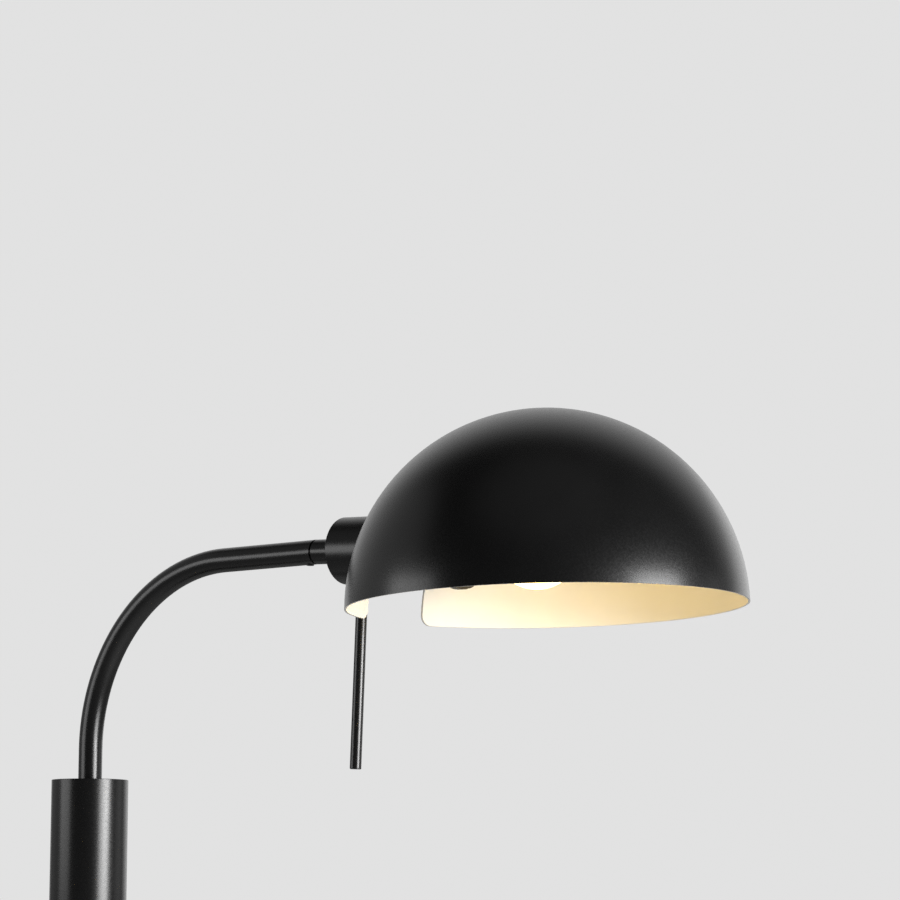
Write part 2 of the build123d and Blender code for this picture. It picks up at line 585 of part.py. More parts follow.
def make_switch_body():
    low = BASE_BOTTOM + CAP_THICKNESS
    high = low + SWITCH_BODY_LENGTH
    end = BASE_BOTTOM - SWITCH_COLLAR_STANDOUT
    collar = SWITCH_COLLAR_DIAMETER / 2
    bore = BUTTON_DIAMETER / 2 + RUN_CLEARANCE
    bore_top = end + BUTTON_STEM_LENGTH + BUTTON_TRAVEL + LOOSE_CLEARANCE
    body = turned([
        (0, bore_top), (bore, bore_top), (bore, end), (collar - EDGE_BREAK, end), (collar, end + EDGE_BREAK),
        (collar, low), (SWITCH_BODY_DIAMETER / 2, low), (SWITCH_BODY_DIAMETER / 2, high), (0, high),
    ])
    return BASE * body


def make_switch_tags():
    half_length = SWITCH_TAG["length"] / 2
    tag = Box(SWITCH_TAG["width"], SWITCH_TAG["thickness"], SWITCH_TAG["length"])
    eye = Cylinder(SWITCH_TAG["hole"] / 2, SWITCH_TAG["width"])
    tag -= Pos(0, 0, half_length / 2) * Rot(90, 0, 0) * eye
    middle = SWITCH_TAG_TOP - half_length
    return [BASE * Pos(side * SWITCH_TAG["spacing"] / 2, 0, middle) * tag for side in (-1, 1)]


def make_switch_nut():
    nut = hex_nut(SWITCH_NUT_FLATS, SWITCH_NUT_HEIGHT, SWITCH_COLLAR_DIAMETER / 2)
    return BASE * Pos(0, 0, BASE_BOTTOM - SWITCH_NUT_HEIGHT) * nut


def make_switch_button():
    radius = BUTTON_DIAMETER / 2
    end = BASE_BOTTOM - SWITCH_COLLAR_STANDOUT
    tip = end - BUTTON_STANDOUT
    top = end + BUTTON_STEM_LENGTH
    blank = rod(radius, tip, top)
    ball = Pos(0, 0, tip + BUTTON_CROWN_RADIUS) * Sphere(BUTTON_CROWN_RADIUS)
    stem = rod(radius, tip + BUTTON_CROWN_RADIUS, top + BUTTON_CROWN_RADIUS)
    return BASE * (blank & (ball + stem))


def make_base_leads():
    """Two leads up to the arm's cable, and two down to the switch."""
    y = TERMINAL_WIRE_OFFSET
    tail = PIVOT_END - CABLE_TAIL - RUN_CLEARANCE
    leads = []
    for side in (-1, 1):
        pole = side * TERMINAL_PITCH
        beside = side * LEAD_SPACING / 2
        tag = side * SWITCH_TAG["spacing"] / 2
        up = [(pole, y, TERMINAL_TOP - TERMINAL_WIRE_DEPTH), (pole, y, TERMINAL_TOP + LEAD_STRAIGHT),
              (beside, 0, tail - 2 * LEAD_STRAIGHT), (beside, 0, tail)]
        down = [(pole, y, TERMINAL_BOTTOM + TERMINAL_WIRE_DEPTH), (pole, y, TERMINAL_BOTTOM - LEAD_STRAIGHT),
                (tag, 0, SWITCH_TAG_TOP + LEAD_STRAIGHT), (tag, 0, SWITCH_TAG_TOP)]
        leads += [BASE * wire(up, LEAD_BEND, LEAD_DIAMETER), BASE * wire(down, LEAD_BEND, LEAD_DIAMETER)]
    return leads


# ---------------------------------------------------------------------------------------------
# Arm


def arm_line(low, reach):
    """Centre line of the arm from a height in the base to a distance from the base's axis."""
    bend_start = ARM_AXIS_HEIGHT - ARM_BEND_RADIUS
    y = -WALL_TO_BASE_AXIS
    upright = Line((0, y, low), (0, y, bend_start))
    half_way = ARM_BEND_RADIUS * DIAGONAL
    bend = ThreePointArc(
        (0, y, bend_start),
        (0, y - ARM_BEND_RADIUS + half_way, bend_start + half_way),
        (0, y - ARM_BEND_RADIUS, ARM_AXIS_HEIGHT),
    )
    level = Line(bend @ 1, (0, y - reach, ARM_AXIS_HEIGHT))
    return Wire([upright, bend, level])


def along_arm(low, reach, outer, inner=0.0):
    path = arm_line(low, reach)
    start = Plane(origin=(0, -WALL_TO_BASE_AXIS, low), z_dir=(0, 0, 1))
    solid = sweep(start * Circle(outer), path=path)
    if inner:
        solid = solid - sweep(start * Circle(inner), path=path)
    return solid


def beyond_seam(start):
    """Everything past a plane square to the drum's axis."""
    size = SEAM_REACH
    return HEAD * Pos(0, 0, start + size / 2) * Box(size, size, size)


def stop_screw_place():
    """Origin on the swivel's axis, z down through the screw."""
    return HEAD * Pos(0, 0, -STOP_SCREW_SETBACK) * Rot(90, 0, 0)


def make_arm_tube():
    tube = along_arm(ARM_FOOT, SEAM_REACH + ARM_RADIUS, ARM_RADIUS, ARM_BORE_RADIUS)
    tube = tube - beyond_seam(0)
    surface = ARM_RADIUS + CUT_MARGIN
    tube -= stop_screw_place() * rod(STOP_SCREW_THREAD / 2, ARM_BORE_RADIUS - CUT_MARGIN, surface)
    tube -= stop_screw_place() * rod(STOP_SCREW_HEAD / 2 + SLIP_CLEARANCE, STOP_SCREW_SEAT, surface)
    return tube


def make_pivot_spindle():
    bore = PIVOT_BORE / 2
    plug_top = ARM_FOOT + PIVOT_PLUG_LENGTH
    shaft = turned([
        (bore, PIVOT_END), (PIVOT_RADIUS - EDGE_BREAK, PIVOT_END), (PIVOT_RADIUS, PIVOT_END + EDGE_BREAK),
        (PIVOT_RADIUS, ARM_FOOT), (ARM_BORE_RADIUS, ARM_FOOT), (ARM_BORE_RADIUS, plug_top), (bore, plug_top),
    ])
    return BASE * shaft


def make_tab_washer():
    low = TAB_WASHER_TOP - TAB_WASHER_THICKNESS
    ring = rod(TAB_WASHER_DIAMETER / 2, low, TAB_WASHER_TOP, PIVOT_RADIUS)
    reach = BOSS_DIAMETER / 2 - EDGE_BREAK
    root = (PIVOT_RADIUS + TAB_WASHER_DIAMETER / 2) / 2
    tab = Pos((reach + root) / 2, 0, (low + TAB_WASHER_TOP) / 2) * Box(
        reach - root, TAB_WIDTH, TAB_WASHER_THICKNESS)
    return BASE * (ring + Rot(0, 0, TAB_DIRECTION) * tab)


def make_pivot_nuts():
    nut = hex_nut(SPINDLE_NUT["flats"], SPINDLE_NUT["height"], PIVOT_RADIUS)
    upper = BASE * Pos(0, 0, PIVOT_NUT_TOP - SPINDLE_NUT["height"]) * nut
    lower = BASE * Pos(0, 0, PIVOT_NUT_BOTTOM) * Rot(0, 0, SECOND_NUT_TURN) * nut
    return [upper, lower]


def make_arm_end_fitting():
    blank_axis = Location(Plane(origin=SEAM_POINT, x_dir=(1, 0, 0), z_dir=(0, 1, 0)))
    fitting = blank_axis * rod(ARM_BORE_RADIUS, -ARM_RADIUS, FITTING_LENGTH) - beyond_seam(0)
    fitting -= HEAD * rod(SWIVEL_RADIUS + RUN_CLEARANCE, -SWIVEL_SHAFT_LENGTH - RUN_CLEARANCE, CUT_MARGIN)
    fitting -= blank_axis * rod(CABLE_DIAMETER / 2 + LOOSE_CLEARANCE, 0, FITTING_LENGTH)
    fitting -= stop_screw_place() * rod(STOP_SCREW_THREAD / 2, 0, ARM_RADIUS)
    return fitting


def make_stop_screw():
    tip = SWIVEL_RADIUS - STOP_GROOVE_DEPTH + SLIP_CLEARANCE
    bore = SWIVEL_RADIUS + RUN_CLEARANCE
    head = STOP_SCREW_HEAD / 2
    top = STOP_SCREW_SEAT + STOP_SCREW_HEAD_HEIGHT
    shank = STOP_SCREW_THREAD / 2
    screw = turned([
        (0, tip), (STOP_SCREW_TIP / 2, tip), (STOP_SCREW_TIP / 2, bore), (shank, bore + SLIP_CLEARANCE),
        (shank, STOP_SCREW_SEAT), (head, STOP_SCREW_SEAT), (head, top - EDGE_BREAK), (head - EDGE_BREAK, top),
        (0, top),
    ])
    screw -= Pos(0, 0, top) * hex_socket(STOP_SCREW_THREAD, STOP_SCREW_HEAD_HEIGHT)
    return stop_screw_place() * screw


def make_arm_cable():
    reach = SEAM_REACH - SWIVEL_SHAFT_LENGTH - 2 * SLIP_CLEARANCE
    return along_arm(PIVOT_END - CABLE_TAIL, reach, CABLE_DIAMETER / 2)


def make_friction_washer():
    return HEAD * rod(FRICTION_WASHER_DIAMETER / 2, 0, FRICTION_WASHER_THICKNESS,
                      SWIVEL_RADIUS + SLIP_CLEARANCE)


# ---------------------------------------------------------------------------------------------
# Head


def make_swivel_spindle():
    bore = SWIVEL_BORE / 2
    thread = SPINDLE_NUT["thread"] / 2
    end = DRUM_START + SWIVEL_THREAD_LENGTH
    collar_edge = EDGE_BREAK / 2
    spindle = turned([
        (bore, -SWIVEL_SHAFT_LENGTH), (SWIVEL_RADIUS - EDGE_BREAK, -SWIVEL_SHAFT_LENGTH),
        (SWIVEL_RADIUS, EDGE_BREAK - SWIVEL_SHAFT_LENGTH), (SWIVEL_RADIUS, SWIVEL_COLLAR_START),
        (ARM_RADIUS - collar_edge, SWIVEL_COLLAR_START), (ARM_RADIUS, SWIVEL_COLLAR_START + collar_edge),
        (ARM_RADIUS, DRUM_START), (thread, DRUM_START), (thread, end - EDGE_BREAK),
        (thread - EDGE_BREAK, end), (bore, end),
    ])
    groove_half = STOP_SCREW_TIP / 2 + LOOSE_CLEARANCE
    floor = SWIVEL_RADIUS - STOP_GROOVE_DEPTH
    half_angle = HEAD_ROLL + degrees(asin(STOP_SCREW_TIP / 2 / floor)) + STOP_SLACK
    groove = sector(SWIVEL_RADIUS + CUT_MARGIN, floor, -STOP_SCREW_SETBACK - groove_half,
                    -STOP_SCREW_SETBACK + groove_half, STOP_DIRECTION, half_angle)
    return HEAD * (spindle - groove)


def make_drum_housing():
    hole = SPINDLE_NUT["thread"] / 2 + RUN_CLEARANCE
    drum = turned([
        (hole, 0), (DRUM_RADIUS - EDGE_BREAK, 0), (DRUM_RADIUS, EDGE_BREAK),
        (DRUM_RADIUS, DRUM_LENGTH - EDGE_BREAK), (DRUM_RADIUS - EDGE_BREAK, DRUM_LENGTH),
        (DRUM_INNER_RADIUS, DRUM_LENGTH), (DRUM_INNER_RADIUS, DRUM_END_WALL), (hole, DRUM_END_WALL),
    ])
    stud_hole = rod(SMALL_NUT["thread"] / 2, DRUM_INNER_RADIUS - CUT_MARGIN, DRUM_RADIUS + CUT_MARGIN)
    drum -= rod_place() * stud_hole
    return DRUM * drum


def rod_place():
    """In the drum's frame: origin on the drum's axis, z down along the handle rod."""
    return Pos(0, 0, ROD_SETBACK) * Rot(90, 0, 0)


def make_lock_washer():
    return DRUM * rod(LOCK_WASHER_DIAMETER / 2, DRUM_END_WALL, DRUM_END_WALL + LOCK_WASHER_THICKNESS,
                      SPINDLE_NUT["thread"] / 2 + RUN_CLEARANCE)


def make_drum_nut():
    nut = hex_nut(SPINDLE_NUT["flats"], SPINDLE_NUT["height"], SPINDLE_NUT["thread"] / 2)
    return DRUM * Pos(0, 0, DRUM_END_WALL + LOCK_WASHER_THICKNESS) * nut


def make_drum_front_disc():
    return DRUM * rod(DRUM_INNER_RADIUS - RUN_CLEARANCE, DRUM_LENGTH - FRONT_DISC_THICKNESS, DRUM_LENGTH,
                      HOLDER_THREAD_RADIUS + SLIP_CLEARANCE)


def make_handle_rod():
    radius = ROD_DIAMETER / 2
    stud = SMALL_NUT["thread"] / 2
    bar = turned([
        (0, DRUM_RADIUS - ROD_STUD_LENGTH), (stud, DRUM_RADIUS - ROD_STUD_LENGTH), (stud, DRUM_RADIUS),
        (radius, DRUM_RADIUS), (radius, ROD_REACH - EDGE_BREAK), (radius - EDGE_BREAK, ROD_REACH),
        (0, ROD_REACH),
    ])
    return DRUM * rod_place() * bar


def make_handle_nut():
    half = SMALL_NUT["flats"] / sqrt(3)
    seat = sqrt(DRUM_INNER_RADIUS**2 - half**2) - RUN_CLEARANCE
    nut = hex_nut(SMALL_NUT["flats"], SMALL_NUT["height"], SMALL_NUT["thread"] / 2)
    return DRUM * rod_place() * Pos(0, 0, seat - SMALL_NUT["height"]) * nut


def make_lampholder_body():
    flange = HOLDER_FLANGE_DIAMETER / 2
    flange_front = DRUM_LENGTH - FRONT_DISC_THICKNESS
    shell_back = BULB_BACK + BULB_TIP_HEIGHT
    mouth_back = shell_back + SHELL_LENGTH
    contact_floor = BULB_BACK - CONTACT_THICKNESS
    well = BULB_TIP_DIAMETER / 2 + HOLDER_WELL_GAP
    body = turned([
        (0, HOLDER_BACK), (HOLDER_CAP_DIAMETER / 2, HOLDER_BACK),
        (HOLDER_CAP_DIAMETER / 2, flange_front - HOLDER_FLANGE_THICKNESS),
        (flange, flange_front - HOLDER_FLANGE_THICKNESS), (flange, flange_front),
        (HOLDER_THREAD_RADIUS, flange_front), (HOLDER_THREAD_RADIUS, HOLDER_FRONT - EDGE_BREAK),
        (HOLDER_THREAD_RADIUS - EDGE_BREAK, HOLDER_FRONT), (MOUTH_DIAMETER / 2, HOLDER_FRONT),
        (MOUTH_DIAMETER / 2, mouth_back), (SHELL_RADIUS, mouth_back), (SHELL_RADIUS, shell_back),
        (well, shell_back), (well, contact_floor), (0, contact_floor),
    ])
    return DRUM * body


def make_lampholder_cap():
    radius = HOLDER_CAP_DIAMETER / 2
    entry = SPINDLE_NUT["thread"] / 2
    back = HOLDER_CAP_BACK
    bend = HOLDER_CAP_CORNER * (1 - DIAGONAL)
    outline = [
        Line((entry, 0, back), (radius - HOLDER_CAP_CORNER, 0, back)),
        ThreePointArc((radius - HOLDER_CAP_CORNER, 0, back), (radius - bend, 0, back + bend),
                      (radius, 0, back + HOLDER_CAP_CORNER)),
        Polyline([
            (radius, 0, back + HOLDER_CAP_CORNER), (radius, 0, HOLDER_BACK),
            (radius - HOLDER_CAP_WALL, 0, HOLDER_BACK),
            (radius - HOLDER_CAP_WALL, 0, back + HOLDER_CAP_WALL), (entry, 0, back + HOLDER_CAP_WALL),
            (entry, 0, back),
        ]),
    ]
    return DRUM * revolve(make_face(outline), Axis.Z)


def make_lampholder_shell():
    back = BULB_BACK + BULB_TIP_HEIGHT
    return DRUM * rod(SHELL_RADIUS, back, back + SHELL_LENGTH, SHELL_BORE / 2)


def make_lampholder_contact():
    return DRUM * rod(BULB_TIP_DIAMETER / 2, BULB_BACK - CONTACT_THICKNESS, BULB_BACK)


def make_shade_ring():
    outer = RING_DIAMETER / 2
    front = RING_BACK + RING_LENGTH
    step = HOLDER_THREAD_RADIUS + RING_STEP
    shoulder = RING_BACK + RING_FLANGE_LENGTH
    ring = turned([
        (HOLDER_THREAD_RADIUS, RING_BACK), (outer, RING_BACK), (outer, shoulder),
        (step + RING_TAPER, shoulder), (step, front), (HOLDER_THREAD_RADIUS, front),
    ])
    groove = Pos(0, 0, RING_BACK) * Cylinder(RING_RIB_RADIUS, 2 * RING_LENGTH)
    for place in PolarLocations(outer + RING_RIB_RADIUS / 2, RING_RIBS):
        ring -= place * groove
    return DRUM * ring


def make_head_leads():
    """Cable through the swivel, and its two leads to the lampholder."""
    split = DRUM_START + SWIVEL_THREAD_LENGTH + CABLE_TAIL
    end = DRUM_START + HOLDER_CAP_BACK + HOLDER_CAP_WALL
    leads = [HEAD * rod(CABLE_DIAMETER / 2, -SWIVEL_SHAFT_LENGTH, split)]
    for side in (-1, 1):
        near = side * LEAD_SPACING / 2
        apart = side * HEAD_LEAD_SPACING / 2
        path = [(near, 0, split), (near, 0, split + LEAD_STRAIGHT), (apart, 0, end - LEAD_STRAIGHT),
                (apart, 0, end)]
        leads.append(HEAD * wire(path, LEAD_BEND, LEAD_DIAMETER))
    return leads


def make_bulb_cap():
    radius = BULB_CAP_DIAMETER / 2
    tip = BULB_TIP_DIAMETER / 2
    return DRUM * turned([
        (0, BULB_BACK), (tip, BULB_BACK), (tip, BULB_BACK + BULB_TIP_HEIGHT),
        (radius, BULB_BACK + 2 * BULB_TIP_HEIGHT), (radius, BULB_NECK_START), (0, BULB_NECK_START),
    ])


def make_bulb_globe():
    globe = GLOBE_DIAMETER / 2
    neck = BULB_NECK_DIAMETER / 2
    collar = BULB_CAP_DIAMETER / 2
    collar_end = BULB_NECK_START + BULB_COLLAR_LENGTH
    neck_end = collar_end + BULB_FLARE_LENGTH
    join = (globe * sin(radians(BULB_JOIN_ANGLE)), 0, BULB_CENTRE - globe * cos(radians(BULB_JOIN_ANGLE)))
    outline = [
        Polyline([(0, 0, BULB_NECK_START), (collar, 0, BULB_NECK_START), (collar, 0, collar_end),
                  (neck, 0, neck_end), join]),
        ThreePointArc(join, (globe, 0, BULB_CENTRE), (0, 0, BULB_CENTRE + globe)),
        Line((0, 0, BULB_CENTRE + globe), (0, 0, BULB_NECK_START)),
    ]
    return DRUM * revolve(make_face(outline), Axis.Z)


def notch_cutter():
    """Arched slot through the shade's back wall, open at the rim with rounded corners."""
    half = NOTCH_WIDTH / 2
    wide = half + NOTCH_CORNER
    rim = SHADE_RIM_RISE
    low = rim - NOTCH_CORNER
    bend = NOTCH_CORNER * (1 - DIAGONAL)
    outline = [
        Line((-wide, low), (-wide, rim)),
        ThreePointArc((-wide, rim), (-half - bend, rim + bend), (-half, rim + NOTCH_CORNER)),
        Line((-half, rim + NOTCH_CORNER), (-half, NOTCH_CENTRE_HEIGHT)),
        ThreePointArc((-half, NOTCH_CENTRE_HEIGHT), (0, NOTCH_CENTRE_HEIGHT + half),
                      (half, NOTCH_CENTRE_HEIGHT)),
        Line((half, NOTCH_CENTRE_HEIGHT), (half, rim + NOTCH_CORNER)),
        ThreePointArc((half, rim + NOTCH_CORNER), (half + bend, rim + bend), (wide, rim)),
        Line((wide, rim), (wide, low)),
        Line((wide, low), (-wide, low)),
    ]
    return Plane.XZ.location * extrude(make_face(outline), -SHADE_DIAMETER)


def make_shade():
    outer_rim = sqrt(SHADE_RADIUS**2 - SHADE_RIM_RISE**2)
    inner_rim = sqrt(SHADE_INNER_RADIUS**2 - SHADE_RIM_RISE**2)
    outer = SHADE_RADIUS * DIAGONAL
    inner = SHADE_INNER_RADIUS * DIAGONAL
    outline = [
        ThreePointArc((outer_rim, 0, SHADE_RIM_RISE), (outer, 0, outer), (0, 0, SHADE_RADIUS)),
        Line((0, 0, SHADE_RADIUS), (0, 0, SHADE_INNER_RADIUS)),
        ThreePointArc((0, 0, SHADE_INNER_RADIUS), (inner, 0, inner), (inner_rim, 0, SHADE_RIM_RISE)),
        Line((inner_rim, 0, SHADE_RIM_RISE), (outer_rim, 0, SHADE_RIM_RISE)),
    ]
    dome = revolve(make_face(outline), Axis.Z)
    shade = SHADE * (dome - notch_cutter())
    for place in stud_places():
        top = PAD_STANDOFF + SHADE_WALL / 2
        shoulder = rod(STUD_SHOULDER_DIAMETER / 2, 0, top)
        stud = rod(STUD_DIAMETER / 2, -CARRIER_THICKNESS - SMALL_NUT["height"] - STUD_SPARE, top)
        shade = shade + place * shoulder + place * stud
    return shade


def pad_location():
    """Origin at the pad's outer face, z outward to the shade, y forward along the pad."""
    origin = PAD_MIDDLE + PAD_OUT * (CARRIER_THICKNESS / 2)
    return DRUM * Plane(origin=origin, x_dir=(-1, 0, 0), z_dir=PAD_OUT).location


def stud_places():
    return [pad_location() * Pos(0, side * STUD_SPACING / 2, 0) for side in (-1, 1)]


def make_shade_nuts():
    nut = hex_nut(SMALL_NUT["flats"], SMALL_NUT["height"], STUD_DIAMETER / 2)
    return [place * Pos(0, 0, -CARRIER_THICKNESS - SMALL_NUT["height"]) * nut for place in stud_places()]


def make_shade_carrier():
    ring = rod(CARRIER_RING_DIAMETER / 2, CARRIER_BACK, RING_BACK, HOLDER_THREAD_RADIUS + SLIP_CLEARANCE)
    corner_y = PAD_MIDDLE.Y - PAD_LEAD * tan(radians(90 - PAD_ANGLE))
    foot_y = (CARRIER_RING_DIAMETER + HOLDER_THREAD_DIAMETER) / 4
    pad_end = PAD_MIDDLE + PAD_FORWARD * PAD_AHEAD
    path = FilletPolyline((0, foot_y, CARRIER_MIDDLE), (0, corner_y, CARRIER_MIDDLE), tuple(pad_end),
                          radius=CARRIER_BEND_RADIUS)
    section = Plane(origin=path @ 0, x_dir=(1, 0, 0), z_dir=path % 0)
    strap = sweep(section * Rectangle(CARRIER_STRAP_WIDTH, CARRIER_THICKNESS), path=path)
    carrier = DRUM * (ring + strap)
    for place in stud_places():
        carrier -= place * rod(STUD_DIAMETER / 2 + SLIP_CLEARANCE, -2 * CARRIER_THICKNESS, CARRIER_THICKNESS)
    return carrier


# ---------------------------------------------------------------------------------------------
PARTS = {
    "wall_plate": make_wall_plate,
    "back_housing": make_back_housing,
    "housing_screws": make_housing_screws,
    "base_tube": make_base_tube,
    "inlet_grommet": make_inlet_grommet,
    "cap_screws": make_cap_screws,
    "top_cap": make_top_cap,
    "arm_bushing": make_arm_bushing,
    "thrust_washer": make_thrust_washer,
    "spring_washer": make_spring_washer,
    "bottom_cap": make_bottom_cap,
    "chassis_plate": make_chassis_plate,
    "chassis_screws": make_chassis_screws,
    "earth_screw": make_earth_screw,
    "terminal_block": make_terminal_block,
    "terminal_screws": make_terminal_screws,
    "switch_body": make_switch_body,
    "switch_tags": make_switch_tags,
    "switch_nut": make_switch_nut,
    "switch_button": make_switch_button,
    "base_leads": make_base_leads,
    "arm_tube": make_arm_tube,
    "pivot_spindle": make_pivot_spindle,
    "tab_washer": make_tab_washer,
    "pivot_nuts": make_pivot_nuts,
    "arm_end_fitting": make_arm_end_fitting,
    "stop_screw": make_stop_screw,
    "arm_cable": make_arm_cable,
    "friction_washer": make_friction_washer,
    "swivel_spindle": make_swivel_spindle,
    "drum_housing": make_drum_housing,
    "drum_lock_washer": make_lock_washer,
    "drum_nut": make_drum_nut,
    "drum_front_disc": make_drum_front_disc,
    "handle_rod": make_handle_rod,
    "handle_nut": make_handle_nut,
    "lampholder_cap": make_lampholder_cap,
    "lampholder_body": make_lampholder_body,
    "lampholder_shell": make_lampholder_shell,
    "lampholder_contact": make_lampholder_contact,
    "shade_ring": make_shade_ring,
    "head_leads": make_head_leads,
    "bulb_cap": make_bulb_cap,
    "bulb_globe": make_bulb_globe,
    "shade": make_shade,
    "shade_carrier": make_shade_carrier,
    "shade_nuts": make_shade_nuts,
}

os.makedirs("parts", exist_ok=True)
for name, make in PARTS.items():
    shape = make()
    solids = shape if isinstance(shape, list) else [shape]
    solids = [solid for piece in solids for solid in piece.solids()]
    export_step(Compound(children=solids) if len(solids) > 1 else solids[0], f"parts/{name}.step")
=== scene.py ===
import json
from math import cos, radians, sin

import bpy
from mathutils import Matrix, Vector

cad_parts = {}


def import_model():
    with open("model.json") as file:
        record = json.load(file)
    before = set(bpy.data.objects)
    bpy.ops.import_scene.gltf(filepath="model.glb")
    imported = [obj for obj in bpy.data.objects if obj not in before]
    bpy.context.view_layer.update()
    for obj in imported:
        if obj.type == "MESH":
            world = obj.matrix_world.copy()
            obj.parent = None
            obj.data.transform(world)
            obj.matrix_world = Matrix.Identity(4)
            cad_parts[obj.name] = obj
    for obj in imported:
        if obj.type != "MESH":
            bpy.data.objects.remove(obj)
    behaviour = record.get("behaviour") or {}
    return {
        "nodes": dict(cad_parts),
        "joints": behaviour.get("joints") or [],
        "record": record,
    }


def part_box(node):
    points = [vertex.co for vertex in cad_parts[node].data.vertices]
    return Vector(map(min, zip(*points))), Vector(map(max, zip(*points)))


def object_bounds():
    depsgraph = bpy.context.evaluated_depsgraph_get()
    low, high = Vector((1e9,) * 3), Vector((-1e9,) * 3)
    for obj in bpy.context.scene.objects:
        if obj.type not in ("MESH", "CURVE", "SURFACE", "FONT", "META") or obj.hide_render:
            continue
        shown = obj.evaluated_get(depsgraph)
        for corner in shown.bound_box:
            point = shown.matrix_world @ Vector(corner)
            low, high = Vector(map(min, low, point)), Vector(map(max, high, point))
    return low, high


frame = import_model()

cad_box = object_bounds()

# The frame's own places, in metres
BASE_AXIS = Vector((0.0, -0.033, 0.0))
BASE_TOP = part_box("base_tube")[1][2]
SHADE_RADIUS = 0.1
SHADE_PAINT_EDGE = 0.00012      # the inner paint stops this far inside the outer face
SHADE_CENTRE_AHEAD = 0.15165    # from the head's joint along its axis to the sphere's centre
SHADE_CENTRE_BELOW = 0.0329

# Camera, at the photograph's viewing angle, from the middle of the base tube's top.
# Angles are in degrees, and the focal length in pixels of the 900 pixel wide picture.
CAMERA_FROM_BASE = Vector((-1.2655, -1.2506, -0.0748))
CAMERA_AZIMUTH = -51.71
CAMERA_PITCH = 8.32
CAMERA_ROLL = 0.13
CAMERA_FOCAL_LENGTH = 3203.0
CAMERA_CLIP_START = 0.05
PICTURE_WIDTH = 900.0
SENSOR_WIDTH = 36.0

# Noises of the finishes: cells per metre and detail. A bump is its depth in metres and strength.
COAT_CLOUD, COAT_GLOSS, COAT_SKIN = (35.0, 2.0), (900.0, 4.0), (1400.0, 2.0)
COAT_BUMP = (0.00001, 0.2)
CREAM_CLOUD, CREAM_GLOSS = (60.0, 3.0), (700.0, 3.0)
METAL_GRAIN, METAL_GLOSS = (260.0, 4.0), (1040.0, 2.0)
METAL_BUMP = (0.00001, 0.2)
MOULDED_CLOUD, MOULDED_GRAIN = (90.0, 3.0), (1500.0, 3.0)
MOULDED_BUMP = (0.00002, 0.4)
OPAL_CLOUD, OPAL_GLOSS = (40.0, 2.0), (500.0, 2.0)
FLOOR_CLOUD, FLOOR_GRAIN = (3.0, 3.0), (40.0, 3.0)
NOISE_LOW, NOISE_HIGH = 0.3, 0.7    # most of a noise's values lie between these

# Colours and roughnesses, each from its one end to its other
COAT_COLOURS = (0.0045, 0.0045, 0.0046), (0.006, 0.006, 0.0061)
COAT_ROUGHNESS = (0.24, 0.3)
CREAM_COLOURS = (0.81, 0.79, 0.735), (0.83, 0.81, 0.76)
CREAM_ROUGHNESS = (0.5, 0.6)
OPAL_COLOURS = (0.86, 0.83, 0.76), (0.9, 0.88, 0.82)
OPAL_ROUGHNESS = (0.12, 0.18)
GLOW_COLOURS = (1.0, 0.67, 0.18), (1.0, 0.69, 0.2)
GLOW_STRENGTH = 7.1
FLOOR_COLOURS = (0.70, 0.70, 0.70), (0.72, 0.72, 0.72)
FLOOR_ROUGHNESS = (0.85, 0.95)
DIELECTRIC_IOR = 1.5
METALS = {
    "zinc_steel": ((0.52, 0.53, 0.54), (0.66, 0.66, 0.64), (0.28, 0.42)),
    "nickel": ((0.62, 0.59, 0.54), (0.74, 0.71, 0.66), (0.18, 0.3)),
    "brass": ((0.66, 0.47, 0.2), (0.78, 0.58, 0.28), (0.22, 0.35)),
}
MOULDINGS = {
    "black_steel": ((0.012, 0.012, 0.013), (0.02, 0.02, 0.021), (0.3, 0.4)),
    "black_plastic": ((0.012, 0.011, 0.011), (0.02, 0.019, 0.018), (0.38, 0.5)),
    "black_rubber": ((0.016, 0.016, 0.016), (0.026, 0.026, 0.026), (0.7, 0.85)),
    "white_nylon": ((0.74, 0.73, 0.69), (0.82, 0.81, 0.78), (0.42, 0.55)),
    "cable_sheath": ((0.018, 0.018, 0.018), (0.03, 0.03, 0.03), (0.5, 0.65)),
}
# Nylon rings that show as thin lines between black tubes are black too
BLACK_RINGS = {"friction_washer": "black_plastic", "arm_bushing": "black_plastic"}

# Stage. A direction is an azimuth to the right of the way to the camera and an elevation.
BACKDROP = (0.759, 0.759, 0.759)
FLOOR_GLOW = 0.55               # what the camera sees the floor give off, of the backdrop's level
FLOOR_DROP = 0.9                # the floor lies this far under the lamp
FLOOR_HALF = 40.0
# What the lamp reflects and is lit by, but the camera doesn't see: a dim room, and on it pale
# patches, each a direction, the cosines from it where the patch ends and where it is full, and
# how much it adds
DIM_ROOM = 0.035
PALE_PATCHES = (
    (172.0, 19.0, 0.52, 0.95, 0.725),
    (150.0, 5.0, 0.92, 0.985, 0.6),
    (-110.0, 17.0, 0.82, 0.95, 0.29),
    (-10.0, 62.0, 0.8, 0.95, 0.1),
    (105.0, -4.0, 0.95, 0.985, 0.9),
)
# Name, direction and distance from the shade's middle, width, height and watts
SOFTBOXES = (
    ("key", 50.0, -7.6, 1.6, 0.95, 0.7, 24.0),
    ("side_card", 59.0, 3.5, 0.9, 0.46, 0.24, 7.4),
    ("left_box", -82.0, 4.0, 1.3, 0.7, 0.42, 2.7),
)


# ---------------------------------------------------------------------------------------------
# Node helpers


